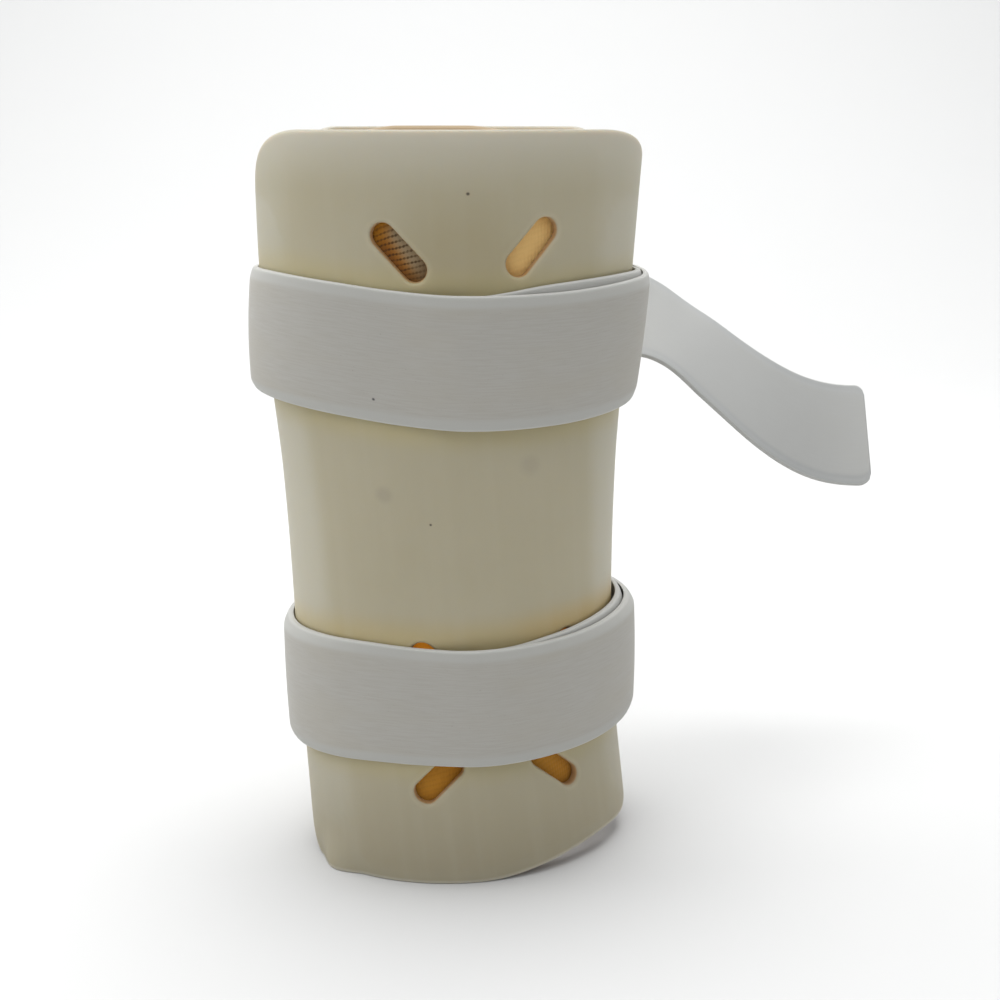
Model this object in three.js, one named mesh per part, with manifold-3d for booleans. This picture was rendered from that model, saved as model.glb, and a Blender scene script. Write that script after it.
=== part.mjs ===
// Forearm fracture brace: two plastic half shells with foam liners, held shut by two hook-and-loop straps.
// Millimetres, +Z up, the front shell faces -Y and the free strap end points to +X.
import * as THREE from 'three';
import { mergeVertices } from 'three/addons/utils/BufferGeometryUtils.js';
import Module from 'manifold-3d';

const wasm = await Module();
wasm.setup();

// Overall sizes
const shell_height = 220.5;
const shell_wall = 3;
const liner_wall = 2.6;
const layer_gap = 0.35;
const strap_width = 38;
const strap_wall = 1.7;

// The outer skin: an oval whose size, place and turn change with height
const section_rows = [
  { height: 0, half_width: 51.8, half_depth: 40.0, centre_x: 6.1, twist: 17.9 },
  { height: 60, half_width: 49.7, half_depth: 41.6, centre_x: 1.5, twist: 12.9 },
  { height: 120, half_width: 50.9, half_depth: 43.3, centre_x: 0.0, twist: 7.9 },
  { height: 170, half_width: 54.6, half_depth: 44.6, centre_x: -0.7, twist: 3.7 },
  { height: 221, half_width: 56.8, half_depth: 46.0, centre_x: 0.5, twist: -0.5 },
];

// Side edges of the front shell, in degrees round from the front, at its foot and at its top
const front_left_edge = { foot: -92, top: -90 };
const front_right_edge = { foot: 91, top: 106 };
const front_foot_corners = { left: 12, right: 26 };
const front_top_corners = { left: { reach: 38, drop: 34 }, right: { reach: 47, drop: 32 } };
const front_foot_rise = { from: -12, to: 46, height: 6.6 };

// The front shell's foot is pushed out a little near its left corner
const foot_kick = { turn: -66, spread: 14, reach: 13, out: 2.6 };

// The back shell: a high middle, lower wings that reach forward inside the front shell
const back_left_edge = 303;
const back_right_edge = 52;
const back_height = 221;
const back_wing_drop = { from: 44, to: 90, height: 19 };
const back_wing_rise = { from: 72, to: 102, height: 14 };
const back_corner = 12;

// Liners stop short of the shell edges
const front_liner_span = { from: -54, to: 49 };
const back_liner_span = { from: 78, to: 282 };
const liner_margin = 4;
const back_liner_crest = { turn: 188, spread: 34, height: 2.2 };

// Slots: two X groups of four, each arm pointing at the middle of its group; the lean keeps a group upright
// on the twisted skin, and the tilt lifts its right side
const slot_length = 19;
const slot_width = 7;
const slot_side_points = 7;
const slot_groups = [
  { turn: 4.0, lean: 1.3, tilt: 0.6, height: 170.2, reach_across: 17.2, reach_up: 18.8 },
  { turn: 4.6, lean: 2.6, tilt: 0, height: 51.6, reach_across: 19.0, reach_up: 17.7 },
];

// Straps: height of the middle and stand-off from the outer skin, round from the front and on over itself
const strap_upper_rows = [
  { turn: 2, height: 159.0, stand_top: 0.45, stand_foot: 0.45 },
  { turn: 30, height: 160.8, stand_top: 0.7, stand_foot: 0.45 },
  { turn: 60, height: 162.1, stand_top: 1.1, stand_foot: 0.45 },
  { turn: 90, height: 162.2, stand_top: 1.6, stand_foot: 0.6 },
  { turn: 112, height: 162.0, stand_top: 0.9, stand_foot: 0.5 },
  { turn: 150, height: 162.0, stand_top: -2.3, stand_foot: -2.3 },
  { turn: 180, height: 162.0, stand_top: -2.8, stand_foot: -2.8 },
  { turn: 215, height: 162.0, stand_top: -2.3, stand_foot: -1.5 },
  { turn: 250, height: 161.8, stand_top: 0.4, stand_foot: 3.5 },
  { turn: 272, height: 162.4, stand_top: 0.7, stand_foot: 4.6 },
  { turn: 300, height: 162.8, stand_top: 0.5, stand_foot: 2.6 },
  { turn: 325, height: 161.6, stand_top: 0.45, stand_foot: 0.6 },
  { turn: 344, height: 159.8, stand_top: 0.45, stand_foot: 0.45 },
  { turn: 362, height: 158.7, stand_top: 2.6, stand_foot: 2.6 },
  { turn: 390, height: 158.8, stand_top: 2.8, stand_foot: 2.6 },
  { turn: 420, height: 160.1, stand_top: 3.4, stand_foot: 2.6 },
  { turn: 450, height: 161.6, stand_top: 4.0, stand_foot: 2.8 },
  { turn: 472, height: 163.2, stand_top: 3.6, stand_foot: 2.8 },
  { turn: 490, height: 164.2, stand_top: 2.8, stand_foot: 2.6 },
];
const strap_lower_rows = [
  { turn: -2, height: 57.7, stand_top: 0.45, stand_foot: 0.45 },
  { turn: 25, height: 58.4, stand_top: 0.7, stand_foot: 0.5 },
  { turn: 50, height: 60.0, stand_top: 1.2, stand_foot: 0.6 },
  { turn: 80, height: 60.9, stand_top: 2.0, stand_foot: 0.9 },
  { turn: 105, height: 61.6, stand_top: 0.9, stand_foot: 0.6 },
  { turn: 150, height: 61.4, stand_top: -2.3, stand_foot: -2.3 },
  { turn: 180, height: 61.0, stand_top: -2.8, stand_foot: -2.8 },
  { turn: 215, height: 57.9, stand_top: -2.0, stand_foot: -2.0 },
  { turn: 250, height: 56.0, stand_top: 1.2, stand_foot: 1.8 },
  { turn: 275, height: 55.8, stand_top: 1.9, stand_foot: 2.8 },
  { turn: 300, height: 57.0, stand_top: 1.3, stand_foot: 1.6 },
  { turn: 322, height: 58.1, stand_top: 0.45, stand_foot: 0.5 },
  { turn: 340, height: 57.8, stand_top: 0.45, stand_foot: 0.45 },
  { turn: 358, height: 57.8, stand_top: 2.6, stand_foot: 2.6 },
  { turn: 390, height: 58.4, stand_top: 2.9, stand_foot: 2.6 },
  { turn: 412, height: 59.3, stand_top: 3.9, stand_foot: 3.2 },
  { turn: 440, height: 59.9, stand_top: 5.4, stand_foot: 4.1 },
  { turn: 465, height: 59.9, stand_top: 3.2, stand_foot: 2.8 },
  { turn: 500, height: 59.4, stand_top: 0.2, stand_foot: 0.2 },
];
const strap_turn_step = 5;

// The free end of the upper strap: turn away from the shell, slope and backward lean along its run
const tail_rows = [
  { run: 0, turn: 0, slope: 0, lean: 0 },
  { run: 11, turn: 70, slope: -4, lean: -3 },
  { run: 22, turn: 130, slope: -8, lean: 9 },
  { run: 33, turn: 144, slope: -9, lean: 49 },
  { run: 46, turn: 132, slope: -32, lean: 55 },
  { run: 64, turn: 123, slope: -39, lean: 46 },
  { run: 86, turn: 118, slope: -36, lean: 38 },
  { run: 110, turn: 122, slope: -24, lean: 33 },
  { run: 133.5, turn: 145, slope: 4, lean: 34 },
];
const tail_step = 3;
const strap_end_round = 4;

const rad = THREE.MathUtils.degToRad;

function ease(share) {
  const held = THREE.MathUtils.clamp(share, 0, 1);
  return held * held * (3 - 2 * held);
}

// Smooth curve through one column of a table
function read_row(rows, key, at, column) {
  const last = rows.length - 1;
  let index = 0;
  while (index < last - 1 && at > rows[index + 1][key]) {
    index += 1;
  }
  const slope_at = (place) => {
    const before = rows[Math.max(place - 1, 0)];
    const after = rows[Math.min(place + 1, last)];
    return (after[column] - before[column]) / (after[key] - before[key]);
  };
  const low = rows[index];
  const high = rows[index + 1];
  const step = high[key] - low[key];
  const share = THREE.MathUtils.clamp((at - low[key]) / step, 0, 1);
  const square = share * share;
  const cube = square * share;
  const low_value = (2 * cube - 3 * square + 1) * low[column];
  const low_slope = (cube - 2 * square + share) * step * slope_at(index);
  const high_value = (3 * square - 2 * cube) * high[column];
  const high_slope = (cube - square) * step * slope_at(index + 1);
  return low_value + low_slope + high_value + high_slope;
}

function kick_at(turn, height) {
  const beside = ease(1 - Math.abs(turn - foot_kick.turn) / foot_kick.spread);
  return foot_kick.out * beside * ease(1 - height / foot_kick.reach);
}

// A point on the outer skin, moved outward level by the stand-off
function skin_point(turn, height, stand) {
  const half_width = read_row(section_rows, 'height', height, 'half_width');
  const half_depth = read_row(section_rows, 'height', height, 'half_depth');
  const centre_x = read_row(section_rows, 'height', height, 'centre_x');
  const twist = rad(read_row(section_rows, 'height', height, 'twist'));
  const side = Math.sin(rad(turn));
  const front = -Math.cos(rad(turn));
  const outward = new THREE.Vector2(half_depth * side, half_width * front).normalize();
  const flat = new THREE.Vector2(half_width * side, half_depth * front);
  flat.addScaledVector(outward, stand + kick_at(turn, height));
  flat.rotateAround(new THREE.Vector2(0, 0), twist);
  return new THREE.Vector3(flat.x + centre_x, flat.y, height);
}

function body_volume(points, faces) {
  let total = 0;
  for (let at = 0; at < faces.length; at += 3) {
    const first = points[faces[at]];
    const second = points[faces[at + 1]];
    const third = points[faces[at + 2]];
    total += first.dot(new THREE.Vector3().crossVectors(second, third)) / 6;
  }
  return total;
}

// A closed body from points and triangles, faces turned outward
function body_geometry(points, faces) {
  const turned = body_volume(points, faces) < 0 ? [...faces].reverse() : faces;
  const geometry = new THREE.BufferGeometry();
  const places = points.flatMap((point) => point.toArray());
  geometry.setAttribute('position', new THREE.Float32BufferAttribute(places, 3));
  geometry.setIndex(turned);
  return geometry;
}

// A closed wall between an outer and an inner grid of the same size
function wall_geometry(columns, rows, outer_at, inner_at) {
  const points = [];
  for (const side_at of [outer_at, inner_at]) {
    for (let column = 0; column <= columns; column += 1) {
      for (let row = 0; row <= rows; row += 1) {
        points.push(side_at(column / columns, row / rows));
      }
    }
  }
  const layer = (columns + 1) * (rows + 1);
  const outer = (column, row) => column * (rows + 1) + row;
  const inner = (column, row) => layer + outer(column, row);
  const faces = [];
  const quad = (one, two, three, four) => faces.push(one, two, three, one, three, four);
  for (let column = 0; column < columns; column += 1) {
    for (let row = 0; row < rows; row += 1) {
      quad(outer(column, row), outer(column + 1, row), outer(column + 1, row + 1), outer(column, row + 1));
      quad(inner(column, row), inner(column, row + 1), inner(column + 1, row + 1), inner(column + 1, row));
    }
    quad(outer(column, 0), inner(column, 0), inner(column + 1, 0), outer(column + 1, 0));
    quad(outer(column, rows), outer(column + 1, rows), inner(column + 1, rows), inner(column, rows));
  }
  for (let row = 0; row < rows; row += 1) {
    quad(outer(0, row), outer(0, row + 1), inner(0, row + 1), inner(0, row));
    quad(outer(columns, row), inner(columns, row), inner(columns, row + 1), outer(columns, row + 1));
  }
  return body_geometry(points, faces);
}

// Columns lie closer together towards both side edges, where the corners are
function column_place(share, crowding) {
  return share - crowding * Math.sin(2 * Math.PI * share) / (2 * Math.PI);
}

// How far a rounded corner draws back from the straight edge: a quarter ellipse, or a quarter circle
function corner_draw(from_side, reach, drop = reach) {
  const short = Math.max(reach - Math.max(from_side, 0), 0) / reach;
  return drop * (1 - Math.sqrt(1 - short * short));
}

function arc_length(turn_from, turn_to) {
  const mean_radius = 47.5;
  return rad(turn_to - turn_from) * mean_radius;
}

function front_turn(place, height) {
  const share = height / shell_height;
  const left = THREE.MathUtils.lerp(front_left_edge.foot, front_left_edge.top, share);
  const right = THREE.MathUtils.lerp(front_right_edge.foot, front_right_edge.top, share);
  return THREE.MathUtils.lerp(left, right, place);
}

function front_foot(place) {
  const turn = front_turn(place, 0);
  const slant = ease((turn - front_foot_rise.from) / (front_foot_rise.to - front_foot_rise.from));
  const left = corner_draw(arc_length(front_left_edge.foot, turn), front_foot_corners.left);
  const right = corner_draw(arc_length(turn, front_right_edge.foot), front_foot_corners.right);
  return front_foot_rise.height * slant + left + right;
}

function front_top(place) {
  const turn = front_turn(place, shell_height);
  const { left, right } = front_top_corners;
  const left_draw = corner_draw(arc_length(front_left_edge.top, turn), left.reach, left.drop);
  const right_draw = corner_draw(arc_length(turn, front_right_edge.top), right.reach, right.drop);
  return shell_height - left_draw - right_draw;
}

function front_shell_geometry() {
  const place_at = (stand) => (across, up) => {
    const place = column_place(across, 0.62);
    const height = THREE.MathUtils.lerp(front_foot(place), front_top(place), up);
    return skin_point(front_turn(place, height), height, stand);
  };
  return wall_geometry(42, 11, place_at(0), place_at(-shell_wall));
}

const back_outer_stand = -shell_wall - layer_gap;

// Degrees away from the middle of the back
function from_back(turn) {
  return Math.abs(turn - 180);
}

function back_foot(turn) {
  const wing = ease((from_back(turn) - back_wing_rise.from) / (back_wing_rise.to - back_wing_rise.from));
  const side = Math.min(arc_length(back_right_edge, turn), arc_length(turn, back_left_edge));
  return back_wing_rise.height * wing + corner_draw(side, back_corner);
}

function back_top(turn) {
  const wing = ease((from_back(turn) - back_wing_drop.from) / (back_wing_drop.to - back_wing_drop.from));
  const side = Math.min(arc_length(back_right_edge, turn), arc_length(turn, back_left_edge));
  return back_height - back_wing_drop.height * wing - corner_draw(side, back_corner);
}

function back_shell_geometry() {
  const place_at = (stand) => (across, up) => {
    const turn = THREE.MathUtils.lerp(back_right_edge, back_left_edge, column_place(across, 0.5));
    const height = THREE.MathUtils.lerp(back_foot(turn), back_top(turn), up);
    return skin_point(turn, height, stand);
  };
  return wall_geometry(48, 11, place_at(back_outer_stand), place_at(back_outer_stand - shell_wall));
}

function front_liner_geometry() {
  const outer_stand = -shell_wall - layer_gap;
  const place_at = (stand) => (across, up) => {
    const turn = THREE.MathUtils.lerp(front_liner_span.from, front_liner_span.to, across);
    const slant = ease((turn - front_foot_rise.from) / (front_foot_rise.to - front_foot_rise.from));
    const foot = liner_margin + front_foot_rise.height * slant;
    const height = THREE.MathUtils.lerp(foot, shell_height - liner_margin, up);
    return skin_point(turn, height, stand);
  };
  return wall_geometry(22, 11, place_at(outer_stand), place_at(outer_stand - liner_wall));
}

function back_liner_geometry() {
  const outer_stand = back_outer_stand - shell_wall - layer_gap;
  const place_at = (stand) => (across, up) => {
    const turn = THREE.MathUtils.lerp(back_liner_span.from, back_liner_span.to, across);
    const crest = ease(1.6 * (1 - Math.abs(turn - back_liner_crest.turn) / back_liner_crest.spread));
    const top = back_top(turn) - liner_margin / 2 + back_liner_crest.height * crest;
    const height = THREE.MathUtils.lerp(back_foot(turn) + liner_margin, top, up);
    return skin_point(turn, height, stand);
  };
  return wall_geometry(34, 11, place_at(outer_stand), place_at(outer_stand - liner_wall));
}

// A round-ended bar that passes through the shell wall
function slot_geometry(group, across, up) {
  const half = (slot_length - slot_width) / 2;
  const outline = new THREE.Shape();
  outline.absarc(half, 0, slot_width / 2, -Math.PI / 2, Math.PI / 2, false);
  outline.absarc(-half, 0, slot_width / 2, Math.PI / 2, 1.5 * Math.PI, false);
  const depth = 4 * shell_wall;
  const drawn = { depth, bevelEnabled: false, curveSegments: slot_side_points };
  const bar = new THREE.ExtrudeGeometry(outline, drawn);
  bar.translate(0, 0, -depth / 2);
  const height = group.height + up * group.reach_up + across * group.tilt;
  const round_radius = 51;
  const aside = THREE.MathUtils.radToDeg(group.reach_across / round_radius);
  const turn = group.turn + up * group.lean + across * aside;
  const middle = skin_point(turn, height, -shell_wall / 2);
  const outward = skin_point(turn, height, 1).sub(skin_point(turn, height, 0));
  const sideways = new THREE.Vector3(0, 0, 1).cross(outward).normalize();
  const upward = new THREE.Vector3().crossVectors(outward, sideways);
  bar.rotateZ(Math.atan2(up * group.reach_up, across * group.reach_across));
  bar.applyMatrix4(new THREE.Matrix4().makeBasis(sideways, upward, outward).setPosition(middle));
  return bar;
}

function to_solid(geometry) {
  const plain = geometry.clone();
  plain.deleteAttribute('normal');
  plain.deleteAttribute('uv');
  const merged = mergeVertices(plain, 1e-4);
  const vertProperties = new Float32Array(merged.attributes.position.array);
  const triVerts = new Uint32Array(merged.index.array);
  return new wasm.Manifold(new wasm.Mesh({ numProp: 3, vertProperties, triVerts }));
}

function from_solid(solid) {
  const mesh = solid.getMesh();
  const geometry = new THREE.BufferGeometry();
  geometry.setAttribute('position', new THREE.BufferAttribute(new Float32Array(mesh.vertProperties), 3));
  geometry.setIndex(new THREE.BufferAttribute(new Uint32Array(mesh.triVerts), 1));
  return geometry;
}

function slotted_front_shell() {
  let solid = to_solid(front_shell_geometry());
  for (const group of slot_groups) {
    for (const across of [-1, 1]) {
      for (const up of [-1, 1]) {
        solid = solid.subtract(to_solid(slot_geometry(group, across, up)));
      }
    }
  }
  return from_solid(solid);
}

// Four corners of the strap's cut section, in order round it
function strap_sections(rows) {
  const first = rows[0].turn;
  const last = rows[rows.length - 1].turn;
  const count = Math.round((last - first) / strap_turn_step);
  const sections = [];
  for (let at = 0; at <= count; at += 1) {
    const turn = THREE.MathUtils.lerp(first, last, at / count);
    const height = read_row(rows, 'turn', turn, 'height');
    const stand_top = read_row(rows, 'turn', turn, 'stand_top');
    const stand_foot = read_row(rows, 'turn', turn, 'stand_foot');
    const top = height + strap_width / 2;
    const foot = height - strap_width / 2;
    sections.push([
      skin_point(turn, foot, stand_foot),
      skin_point(turn, foot, stand_foot + strap_wall),
      skin_point(turn, top, stand_top + strap_wall),
      skin_point(turn, top, stand_top),
    ]);
  }
  return sections;
}

function section_middle(section) {
  return section.reduce((sum, corner) => sum.add(corner), new THREE.Vector3()).multiplyScalar(0.25);
}

// The free end, carried on from the last section that lies on the shell
function tail_sections(sections) {
  const last = sections[sections.length - 1];
  const middle = section_middle(last);
  const lead = middle.clone().sub(section_middle(sections[sections.length - 2]));
  const start_heading = Math.atan2(lead.y, lead.x);
  const length = tail_rows[tail_rows.length - 1].run;
  const count = Math.round(length / tail_step);
  const tail = [];
  for (let at = 1; at <= count; at += 1) {
    const run = at * length / count;
    const heading = start_heading - rad(read_row(tail_rows, 'run', run, 'turn'));
    const slope = rad(read_row(tail_rows, 'run', run, 'slope'));
    const lean = rad(read_row(tail_rows, 'run', run, 'lean'));
    const level = new THREE.Vector3(Math.cos(heading), Math.sin(heading), 0);
    const rise = new THREE.Vector3(0, 0, 1);
    const ahead = level.clone().multiplyScalar(Math.cos(slope)).addScaledVector(rise, Math.sin(slope));
    const upright = rise.clone().multiplyScalar(Math.cos(slope)).addScaledVector(level, -Math.sin(slope));
    const face = new THREE.Vector3().crossVectors(ahead, upright);
    const across = upright.clone().multiplyScalar(Math.cos(lean)).addScaledVector(face, -Math.sin(lean));
    const outward = new THREE.Vector3().crossVectors(ahead, across);
    middle.addScaledVector(ahead, length / count);
    const half = strap_width / 2 - corner_draw(length - run, strap_end_round);
    const corner = (side, out) => middle.clone()
      .addScaledVector(across, side * half)
      .addScaledVector(outward, out * strap_wall / 2);
    tail.push([corner(-1, -1), corner(-1, 1), corner(1, 1), corner(1, -1)]);
  }
  return tail;
}

// Joins a run of four-cornered sections into one closed band
function band_geometry(sections) {
  const points = sections.flat();
  const faces = [];
  const quad = (one, two, three, four) => faces.push(one, two, three, one, three, four);
  for (let at = 0; at + 1 < sections.length; at += 1) {
    for (let corner = 0; corner < 4; corner += 1) {
      const next = (corner + 1) % 4;
      quad(4 * at + corner, 4 * at + next, 4 * at + 4 + next, 4 * at + 4 + corner);
    }
  }
  const end = 4 * (sections.length - 1);
  quad(3, 2, 1, 0);
  quad(end, end + 1, end + 2, end + 3);
  return body_geometry(points, faces);
}

function strap_upper_geometry() {
  const round = strap_sections(strap_upper_rows);
  return band_geometry([...round, ...tail_sections(round)]);
}

function strap_lower_geometry() {
  return band_geometry(strap_sections(strap_lower_rows));
}

function finish(color, roughness) {
  return new THREE.MeshStandardMaterial({ color, roughness, metalness: 0, flatShading: true });
}

const shell_ivory = 0xd2cbb2;
const liner_tan = 0xa87b45;
const strap_white = 0xd3d1ca;

const pieces = [
  ['shell_front', slotted_front_shell(), finish(shell_ivory, 0.5)],
  ['shell_back', back_shell_geometry(), finish(shell_ivory, 0.5)],
  ['liner_front', front_liner_geometry(), finish(liner_tan, 0.95)],
  ['liner_back', back_liner_geometry(), finish(liner_tan, 0.95)],
  ['strap_upper', strap_upper_geometry(), finish(strap_white, 0.85)],
  ['strap_lower', strap_lower_geometry(), finish(strap_white, 0.85)],
];

const brace = new THREE.Group();
brace.name = 'forearm_fracture_brace';
for (const [name, geometry, material] of pieces) {
  const mesh = new THREE.Mesh(geometry, material);
  mesh.name = name;
  brace.add(mesh);
}

// The middle of the whole box stands over the origin, its lowest point at zero height
const box = new THREE.Box3().setFromObject(brace);
const middle = box.getCenter(new THREE.Vector3());
for (const mesh of brace.children) {
  mesh.geometry.translate(-middle.x, -middle.y, -box.min.z);
}

export default brace;
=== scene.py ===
import bmesh
import bpy
import numpy as np
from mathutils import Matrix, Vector
from mathutils.geometry import delaunay_2d_cdt


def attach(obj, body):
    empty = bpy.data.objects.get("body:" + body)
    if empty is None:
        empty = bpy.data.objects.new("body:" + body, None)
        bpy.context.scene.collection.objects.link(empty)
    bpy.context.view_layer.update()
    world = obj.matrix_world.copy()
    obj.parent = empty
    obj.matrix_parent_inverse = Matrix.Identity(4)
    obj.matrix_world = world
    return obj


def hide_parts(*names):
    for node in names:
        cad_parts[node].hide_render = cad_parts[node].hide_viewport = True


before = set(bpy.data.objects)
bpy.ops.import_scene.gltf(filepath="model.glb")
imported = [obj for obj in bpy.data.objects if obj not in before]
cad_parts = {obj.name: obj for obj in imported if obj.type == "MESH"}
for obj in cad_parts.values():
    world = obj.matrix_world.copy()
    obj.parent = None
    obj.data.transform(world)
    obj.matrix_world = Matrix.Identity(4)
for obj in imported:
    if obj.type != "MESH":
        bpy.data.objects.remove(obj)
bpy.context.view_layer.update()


def columns(names, rows):
    """A short table of numbers, one array for each named column."""
    return dict(zip(names.split(), np.array(rows, float).T))


# Sizes in millimetres and turns in degrees round from the front, as in the solids; the shift is the middle
# of the solids' box, which stands over the origin
row_shift = np.array((42.7588, 14.9102, 0.0))
shell_height = 220.5
shell_wall = 3.0
liner_wall = 2.6
layer_gap = 0.35
strap_width = 38.0
strap_wall = 1.7

# Millimetres round an unrolled wall for each degree of turn
unroll = np.radians(47.5)

# The outer skin: an oval whose size, place and turn change with height
skin_rows = columns(
    "height half_width half_depth centre_x twist",
    [
        (0, 51.8, 40.0, 6.1, 17.9),
        (60, 49.7, 41.6, 1.5, 12.9),
        (120, 50.9, 43.3, 0.0, 7.9),
        (170, 54.6, 44.6, -0.7, 3.7),
        (221, 56.8, 46.0, 0.5, -0.5),
    ],
)

# The front shell's side edges, corners and foot; a top corner has a reach and a drop
front_left_foot, front_left_top = -92.0, -90.0
front_right_foot, front_right_top = 91.0, 106.0
foot_left_corner, foot_right_corner = 12.0, 26.0
top_left_corner, top_right_corner = (38.0, 34.0), (47.0, 32.0)
foot_rise_from, foot_rise_to, foot_rise = -12.0, 46.0, 6.6
foot_kick_turn, foot_kick_spread, foot_kick_reach, foot_kick_out = -66.0, 14.0, 13.0, 2.6

# The back shell: a high middle, and lower wings that reach forward inside the front shell
back_from, back_to = 52.0, 303.0
back_height = 221.0
back_corner = 12.0
wing_rise_from, wing_rise_to, wing_rise = 72.0, 102.0, 14.0
wing_drop_from, wing_drop_to, wing_drop = 44.0, 90.0, 19.0
back_outer_stand = -shell_wall - layer_gap

# The liners stop short of the shell edges, and the back one crests above the rim
liner_margin = 4.0
liner_corner = 5.0
front_liner_from, front_liner_to = -54.0, 49.0
front_liner_stand = -shell_wall - layer_gap
back_liner_from, back_liner_to = 78.0, 282.0
back_liner_stand = back_outer_stand - shell_wall - layer_gap
crest_turn, crest_spread, crest_height, crest_fullness = 188.0, 34.0, 2.2, 1.6

# Rounding of cut edges and slot lips, and the spacing of points over a wall
shell_edge_round, liner_edge_round = 0.6, 0.9
lip_round, under_lip_round = 1.1, 0.55
quarter_round = np.radians((90, 67.5, 45, 22.5, 0))
shell_spacing, liner_spacing = 2.2, 2.4
slot_ring_points = 64

# Slots: two X groups of four, each arm pointing at the middle of its group
slot_length, slot_width = 19.0, 7.0
slot_groups = columns(
    "turn lean tilt height reach_across reach_up",
    [
        (4.0, 1.3, 0.6, 170.2, 17.2, 18.8),
        (4.6, 2.6, 0.0, 51.6, 19.0, 17.7),
    ],
)

# Straps: height of the middle and stand-off from the outer skin, round from the front and on over the start
strap_columns = "turn height stand_top stand_foot"
strap_upper_rows = columns(
    strap_columns,
    [
        (2, 159.0, 0.45, 0.45),
        (30, 160.8, 0.7, 0.45),
        (60, 162.1, 1.1, 0.45),
        (90, 162.2, 1.6, 0.6),
        (112, 162.0, 0.9, 0.5),
        (150, 162.0, -2.3, -2.3),
        (180, 162.0, -2.8, -2.8),
        (215, 162.0, -2.3, -1.5),
        (250, 161.8, 0.4, 3.5),
        (272, 162.4, 0.7, 4.6),
        (300, 162.8, 0.5, 2.6),
        (325, 161.6, 0.45, 0.6),
        (344, 159.8, 0.45, 0.45),
        (362, 158.7, 2.6, 2.6),
        (390, 158.8, 2.8, 2.6),
        (420, 160.1, 3.4, 2.6),
        (450, 161.6, 4.0, 2.8),
        (472, 163.2, 3.6, 2.8),
        (490, 164.2, 2.8, 2.6),
    ],
)
strap_lower_rows = columns(
    strap_columns,
    [
        (-2, 57.7, 0.45, 0.45),
        (25, 58.4, 0.7, 0.5),
        (50, 60.0, 1.2, 0.6),
        (80, 60.9, 2.0, 0.9),
        (105, 61.6, 0.9, 0.6),
        (150, 61.4, -2.3, -2.3),
        (180, 61.0, -2.8, -2.8),
        (215, 57.9, -2.0, -2.0),
        (250, 56.0, 1.2, 1.8),
        (275, 55.8, 1.9, 2.8),
        (300, 57.0, 1.3, 1.6),
        (322, 58.1, 0.45, 0.5),
        (340, 57.8, 0.45, 0.45),
        (358, 57.8, 2.6, 2.6),
        (390, 58.4, 2.9, 2.6),
        (412, 59.3, 3.9, 3.2),
        (440, 59.9, 5.4, 4.1),
        (465, 59.9, 3.2, 2.8),
        (500, 59.4, 0.2, 0.2),
    ],
)

# The free end of the upper strap: turn away from the shell, slope and backward lean along its run
tail_rows = columns(
    "run turn slope lean",
    [
        (0, 0, 0, 0),
        (11, 70, -4, -3),
        (22, 130, -8, 9),
        (33, 144, -9, 49),
        (46, 132, -32, 55),
        (64, 123, -39, 46),
        (86, 118, -36, 38),
        (110, 122, -24, 33),
        (133.5, 145, 4, 34),
    ],
)
strap_turn_step = 5.0
tail_step = 3.0
strap_end_round = 4.0

# Share of a strap's half width from which its edges draw in
curl_from = 0.82

# How far a strap's edges draw in towards the shell, how far its middle stands out, and how far its two
# edges draw towards each other where it is pulled tight; along the free end a millimetre counts as a degree
curl_columns = "turn top foot middle neck_top neck_foot"
upper_curl_rows = columns(
    curl_columns,
    [
        (2, 0.2, 0.2, 0, 2.0, 0),
        (14, 0.2, 0.2, 0, 1.4, 0),
        (30, 0.3, 0.2, 0, 0.4, 0),
        (60, 0.5, 0.3, 0, 0.5, 0),
        (90, 0.8, 0.4, 0.1, 1.1, 0),
        (112, 0.7, 0.3, 0, 1.2, 0),
        (130, 0.2, 0.2, 0, 0, 0),
        (215, 0.2, 0.2, 0, 0, 0),
        (250, 0.3, 1.0, 0.6, 0, 1.4),
        (275, 0.6, 1.4, 0.9, 0, 2.0),
        (300, 0.3, 0.8, 0.4, 0.2, 1.1),
        (315, 0.2, 0.4, 0.2, 0.3, 0.6),
        (330, 0.2, 0.2, 0, 0.4, 0.3),
        (362, 0.2, 0.2, 0, 0.4, 0.3),
        (390, 0.3, 0.2, 0, 0.4, 0.3),
        (420, 0.5, 0.4, 0.2, 0.4, 0.2),
        (450, 0.8, 0.8, 0.4, 1.2, 0),
        (472, 0.7, 0.4, 0.2, 1.6, 0),
        (490, 0, 0, 0, 0.9, 0),
        (515, 0, 0, 0, 1.2, -0.4),
        (540, 0, 0, 0, 0.9, -0.6),
        (565, 0, 0, 0, 0.2, 0),
        (580, 0, 0, 0, 0, 0),
        (624, 0, 0, 0, 0, 0),
    ],
)
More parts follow.
